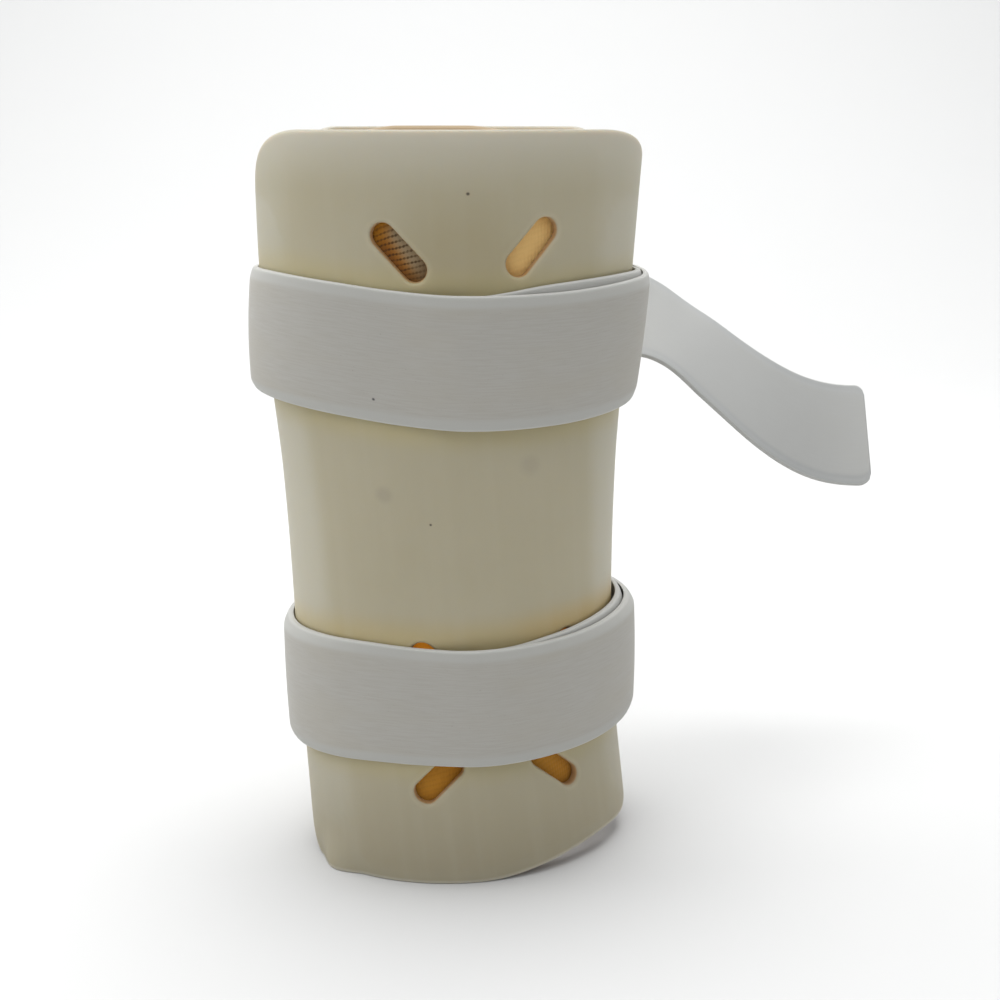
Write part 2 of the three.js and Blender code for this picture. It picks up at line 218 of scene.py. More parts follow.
lower_curl_rows = columns(
    curl_columns,
    [
        (-2, 0.2, 0.2, 0, 2.4, 0),
        (12, 0.2, 0.2, 0, 1.9, 0),
        (25, 0.3, 0.2, 0, 0.9, 0),
        (50, 0.6, 0.3, 0, 0.5, 0),
        (80, 1.0, 0.6, 0.1, 0.1, 0),
        (105, 0.7, 0.3, 0, 0, 0),
        (130, 0.2, 0.2, 0, 0, 0),
        (215, 0.2, 0.2, 0, 0, 0),
        (250, 0.9, 0.8, 0.2, 0, 0),
        (275, 1.7, 1.4, 0.4, 0, 0),
        (300, 1.0, 0.8, 0.2, 0.2, 0.1),
        (325, 0.2, 0.2, 0, 0.8, 0.3),
        (346, 0.2, 0.2, 0, 1.2, 0.5),
        (358, 0.2, 0.2, 0, 1.3, 0.5),
        (390, 0.3, 0.3, 0, 1.2, 0.6),
        (412, 0.9, 0.6, 0.2, 1.0, 0.5),
        (440, 1.7, 1.2, 0.5, 0.3, 0.1),
        (465, 0.8, 0.5, 0.1, 0, 0),
        (500, 0, 0, 0, 0, 0),
    ],
)


def smooth_read(rows, key, at, column):
    """Smooth curve through one column of a table."""
    places, values = rows[key], rows[column]
    slopes = np.empty(len(values))
    slopes[1:-1] = (values[2:] - values[:-2]) / (places[2:] - places[:-2])
    slopes[0] = (values[1] - values[0]) / (places[1] - places[0])
    slopes[-1] = (values[-1] - values[-2]) / (places[-1] - places[-2])
    held = np.clip(at, places[0], places[-1])
    low = np.clip(np.searchsorted(places, held, side="right") - 1, 0, len(places) - 2)
    step = places[low + 1] - places[low]
    share = (held - places[low]) / step
    square, cube = share**2, share**3
    from_low = (2 * cube - 3 * square + 1) * values[low]
    from_high = (3 * square - 2 * cube) * values[low + 1]
    leave = (cube - 2 * square + share) * step * slopes[low]
    arrive = (cube - square) * step * slopes[low + 1]
    return from_low + from_high + leave + arrive


def ease(share):
    held = np.clip(share, 0, 1)
    return held * held * (3 - 2 * held)


def blend(first, second, share):
    return first + (second - first) * share


def ripple(turn, height):
    """Faint unevenness of a wall that was draped warm over a mould."""
    long_swing, short_swing = 0.14, 0.07
    round_it = np.radians(turn)
    long_wave = np.sin(2 * round_it + height / 41 + 0.7) * np.sin(height / 29 + 1.9)
    short_wave = np.sin(5 * round_it - height / 33 + 2.1) * np.cos(height / 17 + 0.4)
    return long_swing * long_wave + short_swing * short_wave


def foot_kick(turn, height):
    """How far the front foot is pushed out near its left corner."""
    beside = ease(1 - np.abs(turn - foot_kick_turn) / foot_kick_spread)
    return foot_kick_out * beside * ease(1 - height / foot_kick_reach)


def skin(turn, height, stand):
    """Points in millimetres that stand off the outer skin, moved outward level."""
    turn, height, stand = np.broadcast_arrays(*(np.asarray(one, float) for one in (turn, height, stand)))
    half_width, half_depth, centre_x, twist = (
        smooth_read(skin_rows, "height", height, name)
        for name in ("half_width", "half_depth", "centre_x", "twist")
    )
    side, front = np.sin(np.radians(turn)), -np.cos(np.radians(turn))
    outward = np.stack([half_depth * side, half_width * front], -1)
    outward /= np.linalg.norm(outward, axis=-1, keepdims=True)
    flat = np.stack([half_width * side, half_depth * front], -1)
    flat = flat + (stand + foot_kick(turn, height) + ripple(turn, height))[..., None] * outward
    cosine, sine = np.cos(np.radians(twist)), np.sin(np.radians(twist))
    across = flat[..., 0] * cosine - flat[..., 1] * sine + centre_x
    depth = flat[..., 0] * sine + flat[..., 1] * cosine
    return np.stack([across, depth, height], -1)


def to_row(points):
    """Millimetres about the brace's own axis to metres in the row frame."""
    return (points - row_shift) / 1000


def corner_draw(from_side, reach, drop=None):
    """How far a rounded corner draws back: a quarter ellipse, or with no drop given a quarter circle."""
    short = np.maximum(reach - np.maximum(from_side, 0), 0) / reach
    return (drop or reach) * (1 - np.sqrt(1 - short**2))


def arc(turn_from, turn_to):
    return unroll * (turn_to - turn_from)


# Outlines of the flat walls, as turn and height
def front_turn(place, height):
    left = blend(front_left_foot, front_left_top, height / shell_height)
    right = blend(front_right_foot, front_right_top, height / shell_height)
    return blend(left, right, place)


def foot_slant(turn):
    return foot_rise * ease((turn - foot_rise_from) / (foot_rise_to - foot_rise_from))


def front_foot(place):
    turn = front_turn(place, 0)
    left = corner_draw(arc(front_left_foot, turn), foot_left_corner)
    right = corner_draw(arc(turn, front_right_foot), foot_right_corner)
    return foot_slant(turn) + left + right


def front_top(place):
    turn = front_turn(place, shell_height)
    left = corner_draw(arc(front_left_top, turn), *top_left_corner)
    right = corner_draw(arc(turn, front_right_top), *top_right_corner)
    return shell_height - left - right


def side_draw(turn, first, last, corner):
    """How far a wall's rounded corners draw back, at a turn between its two side edges."""
    return corner_draw(np.minimum(arc(first, turn), arc(turn, last)), corner)


def from_back(turn):
    return np.abs(turn - 180)


def back_foot(turn):
    wing = ease((from_back(turn) - wing_rise_from) / (wing_rise_to - wing_rise_from))
    return wing_rise * wing + side_draw(turn, back_from, back_to, back_corner)


def back_top(turn):
    wing = ease((from_back(turn) - wing_drop_from) / (wing_drop_to - wing_drop_from))
    return back_height - wing_drop * wing - side_draw(turn, back_from, back_to, back_corner)


def front_liner_foot(turn):
    corners = side_draw(turn, front_liner_from, front_liner_to, liner_corner)
    return liner_margin + foot_slant(turn) + corners


def front_liner_top(turn):
    corners = side_draw(turn, front_liner_from, front_liner_to, liner_corner)
    return shell_height - liner_margin - corners


def back_liner_foot(turn):
    corners = side_draw(turn, back_liner_from, back_liner_to, liner_corner)
    return back_foot(turn) + liner_margin + corners


def back_liner_top(turn):
    corners = side_draw(turn, back_liner_from, back_liner_to, liner_corner)
    crest = ease(crest_fullness * (1 - np.abs(turn - crest_turn) / crest_spread))
    return back_top(turn) - liner_margin / 2 + crest_height * crest - corners


def run_along(points):
    """Distance travelled to each point of a line of points."""
    return np.concatenate([[0], np.cumsum(np.linalg.norm(np.diff(points, axis=0), axis=1))])


def even_loop(loop, step):
    """The same closed loop with points an even step apart."""
    closed = np.vstack([loop, loop[:1]])
    run = run_along(closed)
    count = int(run[-1] / step)
    at = np.arange(count) * run[-1] / count
    return np.stack([np.interp(at, run, closed[:, axis]) for axis in (0, 1)], 1)


def wall_outline(turn_at, foot_at, top_at):
    """Closed loop round an unrolled wall: along its foot, up its right side, back along its top."""
    level_points, side_points, step = 600, 300, 1.0
    place = (1 - np.cos(np.linspace(0, np.pi, level_points))) / 2
    foot, top = foot_at(place), top_at(place)
    right = np.linspace(foot[-1], top[-1], side_points)[1:-1]
    left = np.linspace(top[0], foot[0], side_points)[1:-1]
    height = np.concatenate([foot, right, top[::-1], left])
    share = np.concatenate([place, np.ones(len(right)), place[::-1], np.zeros(len(left))])
    return even_loop(np.stack([unroll * turn_at(share, height), height], 1), step)


def straight_outline(first, last, foot_at, top_at):
    """Outline of a wall whose side edges stay at one turn all the way up."""

    def turn_at(place, height=None):
        return blend(first, last, place)

    return wall_outline(
        turn_at,
        lambda place: foot_at(turn_at(place)),
        lambda place: top_at(turn_at(place)),
    )


front_outline = wall_outline(front_turn, front_foot, front_top)
back_outline = straight_outline(back_from, back_to, back_foot, back_top)
front_liner_outline = straight_outline(front_liner_from, front_liner_to, front_liner_foot, front_liner_top)
back_liner_outline = straight_outline(back_liner_from, back_liner_to, back_liner_foot, back_liner_top)


class Slot:
    """A round-ended slot in the unrolled front wall."""

    half_run = (slot_length - slot_width) / 2

    # Radius of the wall on which a reach across becomes a turn
    reach_radius = 51.0

    def __init__(self, group, across, up):
        reach_across, reach_up = slot_groups["reach_across"][group], slot_groups["reach_up"][group]
        self.height = slot_groups["height"][group] + up * reach_up + across * slot_groups["tilt"][group]
        middle_turn = slot_groups["turn"][group] + up * slot_groups["lean"][group]
        self.turn = middle_turn + across * np.degrees(reach_across / self.reach_radius)
        self.angle = np.arctan2(up * reach_up, across * reach_across)
        step = skin(self.turn + 0.5, self.height, 0) - skin(self.turn - 0.5, self.height, 0)
        self.stretch = unroll / np.linalg.norm(step)

    def ring(self, margin, count):
        """Loop round the slot at a margin outside its edge, in the unrolled wall."""
        radius = slot_width / 2 + margin
        straight, bend = 2 * self.half_run, np.pi * radius
        run = np.arange(count) / count * 2 * (straight + bend)
        second = run >= straight + bend
        run = np.where(second, run - straight - bend, run)
        on_bend = run > straight
        bend_angle = np.where(on_bend, (run - straight) / radius - np.pi / 2, -np.pi / 2)
        along = np.where(on_bend, self.half_run, run - self.half_run) + radius * np.cos(bend_angle)
        aside = radius * np.sin(bend_angle)
        flip = np.where(second, -1, 1)
        return self.to_wall(flip * along, flip * aside)

    def to_wall(self, along, aside):
        cosine, sine = np.cos(self.angle), np.sin(self.angle)
        across = (along * cosine - aside * sine) * self.stretch
        return np.stack([unroll * self.turn + across, self.height + along * sine + aside * cosine], 1)

    def margin_of(self, points):
        """Distance of unrolled wall points from the slot's edge."""
        across = (points[:, 0] - unroll * self.turn) / self.stretch
        up = points[:, 1] - self.height
        along = across * np.cos(self.angle) + up * np.sin(self.angle)
        aside = up * np.cos(self.angle) - across * np.sin(self.angle)
        beyond = np.maximum(np.abs(along) - self.half_run, 0)
        return np.hypot(beyond, aside) - slot_width / 2


front_slots = [Slot(group, across, up) for group in (0, 1) for across in (-1, 1) for up in (-1, 1)]


def inset_loop(loop, depth):
    """The same loop moved inward by a depth."""
    along = np.roll(loop, -1, 0) - np.roll(loop, 1, 0)
    along /= np.linalg.norm(along, axis=1, keepdims=True)
    return loop + depth * np.stack([-along[:, 1], along[:, 0]], 1)


def inside_depth(points, loop):
    """Signed depth of points inside a closed loop, close enough away from its very edge."""
    block, tiny = 2000, 1e-9
    after = np.roll(loop, -1, 0)
    depth = np.empty(len(points))
    inside = np.zeros(len(points), bool)
    for start in range(0, len(points), block):
        part = slice(start, start + block)
        at = points[part]
        gap = np.linalg.norm(at[:, None] - loop[None], axis=2)
        depth[part] = gap.min(1)
        above = (loop[None, :, 1] > at[:, 1:2]) != (after[None, :, 1] > at[:, 1:2])
        rise = after[:, 1] - loop[:, 1]
        rise = np.where(np.abs(rise) < tiny, tiny, rise)
        cross = loop[:, 0] + (at[:, 1:2] - loop[:, 1]) * (after[:, 0] - loop[:, 0]) / rise
        inside[part] = (above & (at[:, 0:1] < cross)).sum(1) % 2 == 1
    return np.where(inside, depth, -depth)


def new_object(name, points, faces, notes):
    """A smooth mesh object from millimetre points, with named values at each point."""
    mesh = bpy.data.meshes.new(name)
    mesh.from_pydata(to_row(points).tolist(), [], faces)
    for note, values in notes.items():
        kind = "FLOAT_VECTOR" if values.ndim == 2 else "FLOAT"
        field = "vector" if values.ndim == 2 else "value"
        made = mesh.attributes.new(note, kind, "POINT")
        made.data.foreach_set(field, values.astype(np.float32).ravel())
    shape = bmesh.new()
    shape.from_mesh(mesh)
    bmesh.ops.recalc_face_normals(shape, faces=shape.faces)
    shape.to_mesh(mesh)
    shape.free()
    mesh.shade_smooth()
    piece = bpy.data.objects.new(name, mesh)
    bpy.context.scene.collection.objects.link(piece)
    return piece


def loop_edges(first, count):
    """Pairs of neighbours round a closed loop of points."""
    return [(first + at, first + (at + 1) % count) for at in range(count)]


def wall_points(outline, slots, edge_round, spacing):
    """Points that fill an unrolled wall: rings along its edges, rings round its slots, and an even field."""
    loops, depths = [], []
    for angle in quarter_round:
        depth = edge_round * (1 - np.sin(angle))
        loops.append(inset_loop(outline, depth))
        depths.append(np.full(len(outline), depth))
    edges = loop_edges(0, len(outline))
    for slot in slots:
        edges += loop_edges(sum(map(len, loops)), slot_ring_points)
        for angle in quarter_round:
            margin = lip_round * (1 - np.sin(angle))
            loops.append(slot.ring(margin, slot_ring_points))
            depths.append(np.full(slot_ring_points, margin))
    low, high = outline.min(0), outline.max(0)
    across = np.arange(low[0], high[0], spacing)
    up = np.arange(low[1], high[1], spacing)
    field = np.stack(np.meshgrid(across, up, indexing="ij"), -1).reshape(-1, 2)
    keep = inside_depth(field, outline) > edge_round + 0.5 * spacing
    for slot in slots:
        keep &= slot.margin_of(field) > lip_round + 0.5 * spacing
    field = field[keep]
    depths.append(np.full(len(field), np.nan))
    return np.concatenate([*loops, field]), edges, np.concatenate(depths)


def wall_depths(flat, ring_depth, outline, slots):
    """How deep each wall point lies in from the outer edge and from the nearest slot, exact on the rings."""
    far_from_slots, ring_slack = 99.0, 0.05
    edge_depth = np.abs(inside_depth(flat, outline))
    lip_depth = np.full(len(flat), far_from_slots)
    for slot in slots:
        lip_depth = np.minimum(lip_depth, np.maximum(slot.margin_of(flat), 0))
    on_ring = ~np.isnan(ring_depth)
    by_slot = on_ring & (lip_depth < lip_round + ring_slack)
    edge_depth = np.where(on_ring & ~by_slot, ring_depth, edge_depth)
    lip_depth = np.where(by_slot, ring_depth, lip_depth)
    return edge_depth, lip_depth


def rim_sides(triangles):
    """Pairs of points along the open borders of a sheet of triangles."""
    pairs = np.concatenate([triangles[:, [0, 1]], triangles[:, [1, 2]], triangles[:, [2, 0]]])
    sides, uses = np.unique(np.sort(pairs, axis=1), axis=0, return_counts=True)
    return sides[uses == 1].tolist()


def wall_piece(name, outline, slots, outer_stand, wall, edge_round, spacing, notes_at):
    """A bent wall with rounded edges and rounded slot lips, in one closed mesh."""
    inside_only, tolerance = 1, 1e-6
    points, edges, ring_depth = wall_points(outline, slots, edge_round, spacing)
    corners = [Vector(one) for one in points]
    _, _, triangles, origins, _, _ = delaunay_2d_cdt(corners, edges, [], inside_only, tolerance)
    source = np.array([origin[0] for origin in origins])
    triangles = np.array(triangles)
    flat, ring_depth = points[source], ring_depth[source]
    centres = flat[triangles].mean(1)
    for slot in slots:
        open_there = slot.margin_of(centres) < 0
        triangles, centres = triangles[~open_there], centres[~open_there]
    edge_depth, lip_depth = wall_depths(flat, ring_depth, outline, slots)
    edge_drop = corner_draw(edge_depth, edge_round)
    drop = np.maximum(edge_drop, corner_draw(lip_depth, lip_round))
    lift = np.maximum(edge_drop, corner_draw(lip_depth, under_lip_round))
    turn, height = flat[:, 0] / unroll, flat[:, 1]
    outer = skin(turn, height, outer_stand - drop)
    inner = skin(turn, height, outer_stand - wall + lift)
    count = len(flat)
    faces = triangles.tolist() + (triangles[:, ::-1] + count).tolist()
    faces += [(first, second, second + count, first + count) for first, second in rim_sides(triangles)]
    both = {"place": np.stack([flat[:, 0], height, np.zeros(count)], 1)}
    both["edge"] = edge_depth
    both["lip"] = lip_depth
    both.update(notes_at(turn, height))
    notes = {note: np.concatenate([values, values]) for note, values in both.items()}
    notes["outside"] = np.concatenate([np.ones(count), np.zeros(count)])
    return new_object(name, np.concatenate([outer, inner]), faces, notes)


def soft_band(value, low, high, width):
    """1 between two limits, easing to 0 across a width at each."""
    return ease((value - low) / width + 0.5) * ease((high - value) / width + 0.5)


def beyond_strap(rows, turn, height):
    """Distance above or below a strap's edges, those of its outer layer where it has two."""
    lap_end = 130
    wrapped = np.mod(turn, 360)
    outer_turn = np.where(wrapped < lap_end, wrapped + 360, wrapped)
    middle = smooth_read(rows, "turn", outer_turn, "height")
    return np.abs(height - middle) - strap_width / 2


def strap_shade_and_glow_near(turn, height):
    """1 beside a strap's edge and under it, easing to 0 a few millimetres away; it places the shell's
    painted shade and glow along the straps.
    """
    reach = 9.0
    straps = (strap_upper_rows, strap_lower_rows)
    return np.maximum(*(1 - ease(beyond_strap(rows, turn, height) / reach) for rows in straps))


def amber_band_at(turn, height):
    """A warm amber band along the lower strap's upper edge, strongest to the right."""
    band_foot, reach = 70.0, 11.0
    strong_from, strong_to, blur = 18.0, 80.0, 30.0
    beyond = beyond_strap(strap_lower_rows, turn, height)
    above = (height > band_foot) * (1 - ease(beyond / reach))
    return above * (0.35 + 0.65 * soft_band(turn, strong_from, strong_to, blur))


# How softly a hidden wall shows through: across its side edges, along its rims, and where two shells lap
side_blur, rim_blur, lap_blur = 11.0, 3.0, 6.0

# A turn past every side edge
any_turn = 400.0


def liner_shade(turn, height, first, last, foot_at, top_at, blur):
    """1 where a liner lies behind the wall, easing to 0 past its edges."""
    held = np.clip(turn, first, last)
    return soft_band(turn, first, last, blur) * soft_band(height, foot_at(held), top_at(held), rim_blur)


def front_notes(turn, height):
    left_wing = soft_band(turn, -any_turn, back_to - 360, side_blur)
    right_wing = soft_band(turn, back_from, any_turn, side_blur)
    wing_turn = np.clip(np.mod(turn, 360), back_from, back_to)
    in_wing = soft_band(height, back_foot(wing_turn), back_top(wing_turn), rim_blur)
    liner = (front_liner_from, front_liner_to, front_liner_foot, front_liner_top)
    return {
        "lap": (left_wing + right_wing) * in_wing,
        "lined": liner_shade(turn, height, *liner, side_blur),
        "strap": strap_shade_and_glow_near(turn, height),
        "amber_band": amber_band_at(turn, height),
    }


def back_notes(turn, height):
    lap_right, lap_left = 80.0, 275.0
    liner = (back_liner_from, back_liner_to, back_liner_foot, back_liner_top)
    right_lap = soft_band(turn, -any_turn, lap_right, lap_blur)
    left_lap = soft_band(turn, lap_left, any_turn, lap_blur)
    return {
        "lap": right_lap + left_lap,
        "lined": liner_shade(turn, height, *liner, rim_blur),
        "strap": strap_shade_and_glow_near(turn, height),
    }


def no_notes(turn, height):
    return {}


# Straps: coarse sections as in the solids, then a fine woven cross-section along them
def strap_sections(rows):
    count = round((rows["turn"][-1] - rows["turn"][0]) / strap_turn_step)
    turn = np.linspace(rows["turn"][0], rows["turn"][-1], count + 1)
    height, stand_top, stand_foot = (
        smooth_read(rows, "turn", turn, name) for name in ("height", "stand_top", "stand_foot")
    )
    foot, top = height - strap_width / 2, height + strap_width / 2
    corners = [
        skin(turn, foot, stand_foot),
        skin(turn, foot, stand_foot + strap_wall),
        skin(turn, top, stand_top + strap_wall),
        skin(turn, top, stand_top),
    ]
    return np.stack(corners, 1), turn


def unit(vector):
    return vector / np.linalg.norm(vector, axis=-1, keepdims=True)


def tail_sections(sections):
    """The free end, carried on from the last section that lies on the shell."""
    middle = sections[-1].mean(0)
    lead = middle - sections[-2].mean(0)
    length = tail_rows["run"][-1]
    count = round(length / tail_step)
    run = np.arange(1, count + 1) * length / count
    heading = np.arctan2(lead[1], lead[0]) - np.radians(smooth_read(tail_rows, "run", run, "turn"))
    slope = np.radians(smooth_read(tail_rows, "run", run, "slope"))[:, None]
    lean = np.radians(smooth_read(tail_rows, "run", run, "lean"))[:, None]
    level = np.stack([np.cos(heading), np.sin(heading), np.zeros(count)], 1)
    rise = np.array((0.0, 0.0, 1.0))
    ahead = level * np.cos(slope) + rise * np.sin(slope)
    upright = rise * np.cos(slope) - level * np.sin(slope)
    across = upright * np.cos(lean) - np.cross(ahead, upright) * np.sin(lean)
    outward = np.cross(ahead, across)
    path = middle + np.cumsum(ahead, 0) * length / count
    half_across, half_wall = across * strap_width / 2, outward * strap_wall / 2
    corners = [
        path - half_across - half_wall,
        path - half_across + half_wall,
        path + half_across + half_wall,
        path + half_across - half_wall,
    ]
    return np.stack(corners, 1)


def refine(rows, times):
    """A smooth curve through rows of points, with more of them."""
    last = len(rows) - 1
    at = np.linspace(0, last, last * times + 1)
    low = np.minimum(at.astype(int), last - 1)
    share = (at - low).reshape(-1, *[1] * (rows.ndim - 1))
    before, start = rows[np.maximum(low - 1, 0)], rows[low]
    end, after = rows[low + 1], rows[np.minimum(low + 2, last)]
    bend = 2 * before - 5 * start + 4 * end - after
    swing = 3 * (start - end) + after - before
    return start + 0.5 * share * (end - before + share * (bend + share * swing))


# Half of the tape's section, from its edge to its middle: a flat back, and a front with a thinner woven edge
tape_half = columns(
    "across back front",
    [
        (1.0, -0.5, -0.5),
        (0.997, -0.84, 0.2),
        (0.99, -0.97, 0.6),
        (0.978, -1.0, 0.74),
        (0.955, -1.0, 0.8),
        (0.92, -1.0, 0.82),
        (0.88, -1.0, 0.84),
        (0.85, -1.0, 0.92),
        (0.82, -1.0, 0.98),
        (0.76, -1.0, 1.0),
        (0.66, -1.0, 1.0),
        (0.56, -1.0, 1.0),
        (0.46, -1.0, 1.0),
        (0.36, -1.0, 1.0),
        (0.26, -1.0, 1.0),
        (0.16, -1.0, 1.0),
        (0.06, -1.0, 1.0),
    ],
)


def tape_path(rows, with_tail):
    """Fine sections along a strap and the turn at each, with the free end's run added to the last turn."""
    refine_times = 4
    sections, turn = strap_sections(rows)
    if with_tail:
        tail = tail_sections(sections)
        tail_run = np.arange(1, len(tail) + 1) * tail_rows["run"][-1] / len(tail)
        sections = np.concatenate([sections, tail])
        turn = np.concatenate([turn, turn[-1] + tail_run])
    return refine(sections, refine_times), refine(turn, refine_times)


def tape_ring():
    """Places across the tape and levels through it, once round its section, the front first."""
    across = np.concatenate([-tape_half["across"], tape_half["across"][::-1]])
    front, back = (np.concatenate([tape_half[key], tape_half[key][::-1]]) for key in ("front", "back"))
    ring_across = np.concatenate([across, across[-2:0:-1]])
    ring_level = np.concatenate([front, back[-2:0:-1]])
    return ring_across, ring_level, len(across)


def band_faces(stations, ring, front_count):
    """Faces along a band of rings, and those that close its two ends."""
    index = np.arange(stations * ring).reshape(stations, ring)
    after = np.roll(index, -1, 1)
    faces = np.stack([index[:-1], after[:-1], after[1:], index[1:]], -1).reshape(-1, 4).tolist()
    for row in (index[0], index[-1]):
        under = np.concatenate([row[:1], row[:front_count - 1:-1], row[front_count - 1:front_count]])
        for at in range(front_count - 1):
            corners = [row[at], row[at + 1], under[at + 1], under[at]]
            faces.append(list(dict.fromkeys(int(one) for one in corners)))
    return faces


def tape_piece(name, rows, curl_rows, with_tail):
    """A hook-and-loop tape with thin woven edges and a raised loop field, in one closed mesh."""
    sections, turn = tape_path(rows, with_tail)
    curl = {key: smooth_read(curl_rows, "turn", turn, key)[:, None] for key in curl_columns.split()}
    foot = (sections[:, 0] + sections[:, 1]) / 2
    top = (sections[:, 2] + sections[:, 3]) / 2
    upward = unit(top - foot)
    foot = foot + upward * curl["neck_foot"]
    top = top - upward * curl["neck_top"]
    middle, half = (foot + top) / 2, (top - foot) / 2
    outward = unit(sections[:, 1] - sections[:, 0] + sections[:, 2] - sections[:, 3])
    run = run_along(middle)
    end_draw = corner_draw(run[-1] - run, strap_end_round) + corner_draw(run, strap_end_round)
    half = half * (1 - end_draw / (strap_width / 2))[:, None]
    ring_across, ring_level, front_count = tape_ring()
    draw_foot = np.clip((-ring_across - curl_from) / (1 - curl_from), 0, 1) ** 2
    draw_top = np.clip((ring_across - curl_from) / (1 - curl_from), 0, 1) ** 2
    stand_out = 1 - ring_across**2
    shift = curl["middle"] * stand_out - curl["foot"] * draw_foot - curl["top"] * draw_top
    shift = shift + ring_level * strap_wall / 2
    points = middle[:, None] + half[:, None] * ring_across[:, None] + outward[:, None] * shift[..., None]
    grid = points.shape[:2]
    along = np.broadcast_to(run[:, None], grid)
    aside = np.broadcast_to(ring_across * strap_width / 2, grid)
    face_side = np.broadcast_to(np.where(np.arange(grid[1]) < front_count, 1.0, -1.0), grid)
    notes = {"tape": np.stack([along, aside, face_side], -1).reshape(-1, 3)}
    if with_tail:
        notes["turn"] = np.broadcast_to(turn[:, None], grid).reshape(-1)
    return new_object(name, points.reshape(-1, 3), band_faces(*grid, front_count), notes)


def tint(red, green, blue):
    """A colour as seen on screen, from 0 to 255, as the shader's linear numbers."""
    seen = np.array((red, green, blue)) / 255
    linear = np.where(seen <= 0.04045, seen / 12.92, ((seen + 0.055) / 1.055) ** 2.4)
    return (*linear.tolist(), 1.0)


class Reading:
    """A value on a surface; sums with it add the nodes that work them out."""

    def __init__(self, finish, socket):
        self.finish = finish
        self.socket = socket

    def sum(self, operation, first, second):
        return self.finish.add("ShaderNodeMath", {"operation": operation}, {0: first, 1: second})

    def __add__(self, other):
        return self.sum("ADD", self, other)

    __radd__ = __add__

    def __sub__(self, other):
        return self.sum("SUBTRACT", self, other)

    def __rsub__(self, other):
        return self.sum("SUBTRACT", other, self)

    def __mul__(self, other):
        return self.sum("MULTIPLY", self, other)

    __rmul__ = __mul__


class Finish:
    """One surface finish: its material, its shader and the readings that feed it."""

    def __init__(self, name):
        self.material = bpy.data.materials.new(name)
        self.material.use_nodes = True
        self.tree = self.material.node_tree
        self.tree.nodes.clear()

    def add(self, kind, settings=None, sockets=None, output=0):
        """A node with its settings, then its socket values or links; gives one of its outputs."""
        node = self.tree.nodes.new(kind)
        for key, value in (settings or {}).items():
            setattr(node, key, value)
        for key, value in (sockets or {}).items():
            self.feed(node.inputs[key], value)
        return Reading(self, node.outputs[output])

    def feed(self, socket, value):
        if isinstance(value, Reading):
            self.tree.links.new(value.socket, socket)
        else:
            socket.default_value = value

    def note(self, name, output="Fac"):
        return self.add("ShaderNodeAttribute", {"attribute_name": name}, output=output)

    def parts(self, vector):
        """The separate numbers of a vector."""
        split = self.add("ShaderNodeSeparateXYZ", sockets={0: vector})
        return [Reading(self, socket) for socket in split.socket.node.outputs]

    def vector(self, first, second, third=0.0):
        return self.add("ShaderNodeCombineXYZ", sockets={0: first, 1: second, 2: third})

    def noise(self, vector, scale, detail=2.0, roughness=0.5):
        return self.add(
            "ShaderNodeTexNoise",
            {"noise_dimensions": "3D"},
            {"Vector": vector, "Scale": scale, "Detail": detail, "Roughness": roughness},
        )

    def fade(self, value, low, high):
        """0 at low, 1 at high, eased between."""
        return self.add(
            "ShaderNodeMapRange",
            {"interpolation_type": "SMOOTHSTEP"},
            {"Value": value, "From Min": low, "From Max": high, "To Min": 0.0, "To Max": 1.0},
        )

    def sine(self, value):
        return self.add("ShaderNodeMath", {"operation": "SINE"}, {0: value})

    def spot(self, place, middle, radius):
        """1 at a spot's middle, 0 from its radius on."""
        apart = self.add(
            "ShaderNodeVectorMath",
            {"operation": "DISTANCE"},
            {0: place, 1: (*middle, 0.0)},
            output="Value",
        )
        return 1 - self.fade(apart, 0.25 * radius, radius)

    def mix(self, first, second, share):
        """A colour between two others, by a share from 0 to 1."""
        share_in, first_in, second_in, colour_out = 0, 6, 7, 2
        return self.add(
            "ShaderNodeMix",
            {"data_type": "RGBA"},
            {share_in: share, first_in: first, second_in: second},
            output=colour_out,
        )

    def bump(self, height, strength, distance):
        return self.add(
            "ShaderNodeBump",
            sockets={"Height": height, "Strength": strength, "Distance": distance},
        )

    def surface(self, sockets):
        shader = self.add("ShaderNodeBsdfPrincipled", sockets=sockets)
        output = self.tree.nodes.new("ShaderNodeOutputMaterial")
        self.feed(output.inputs["Surface"], shader)
        return self.material


def wall_spot(turn, height):
    return (unroll * turn, height)


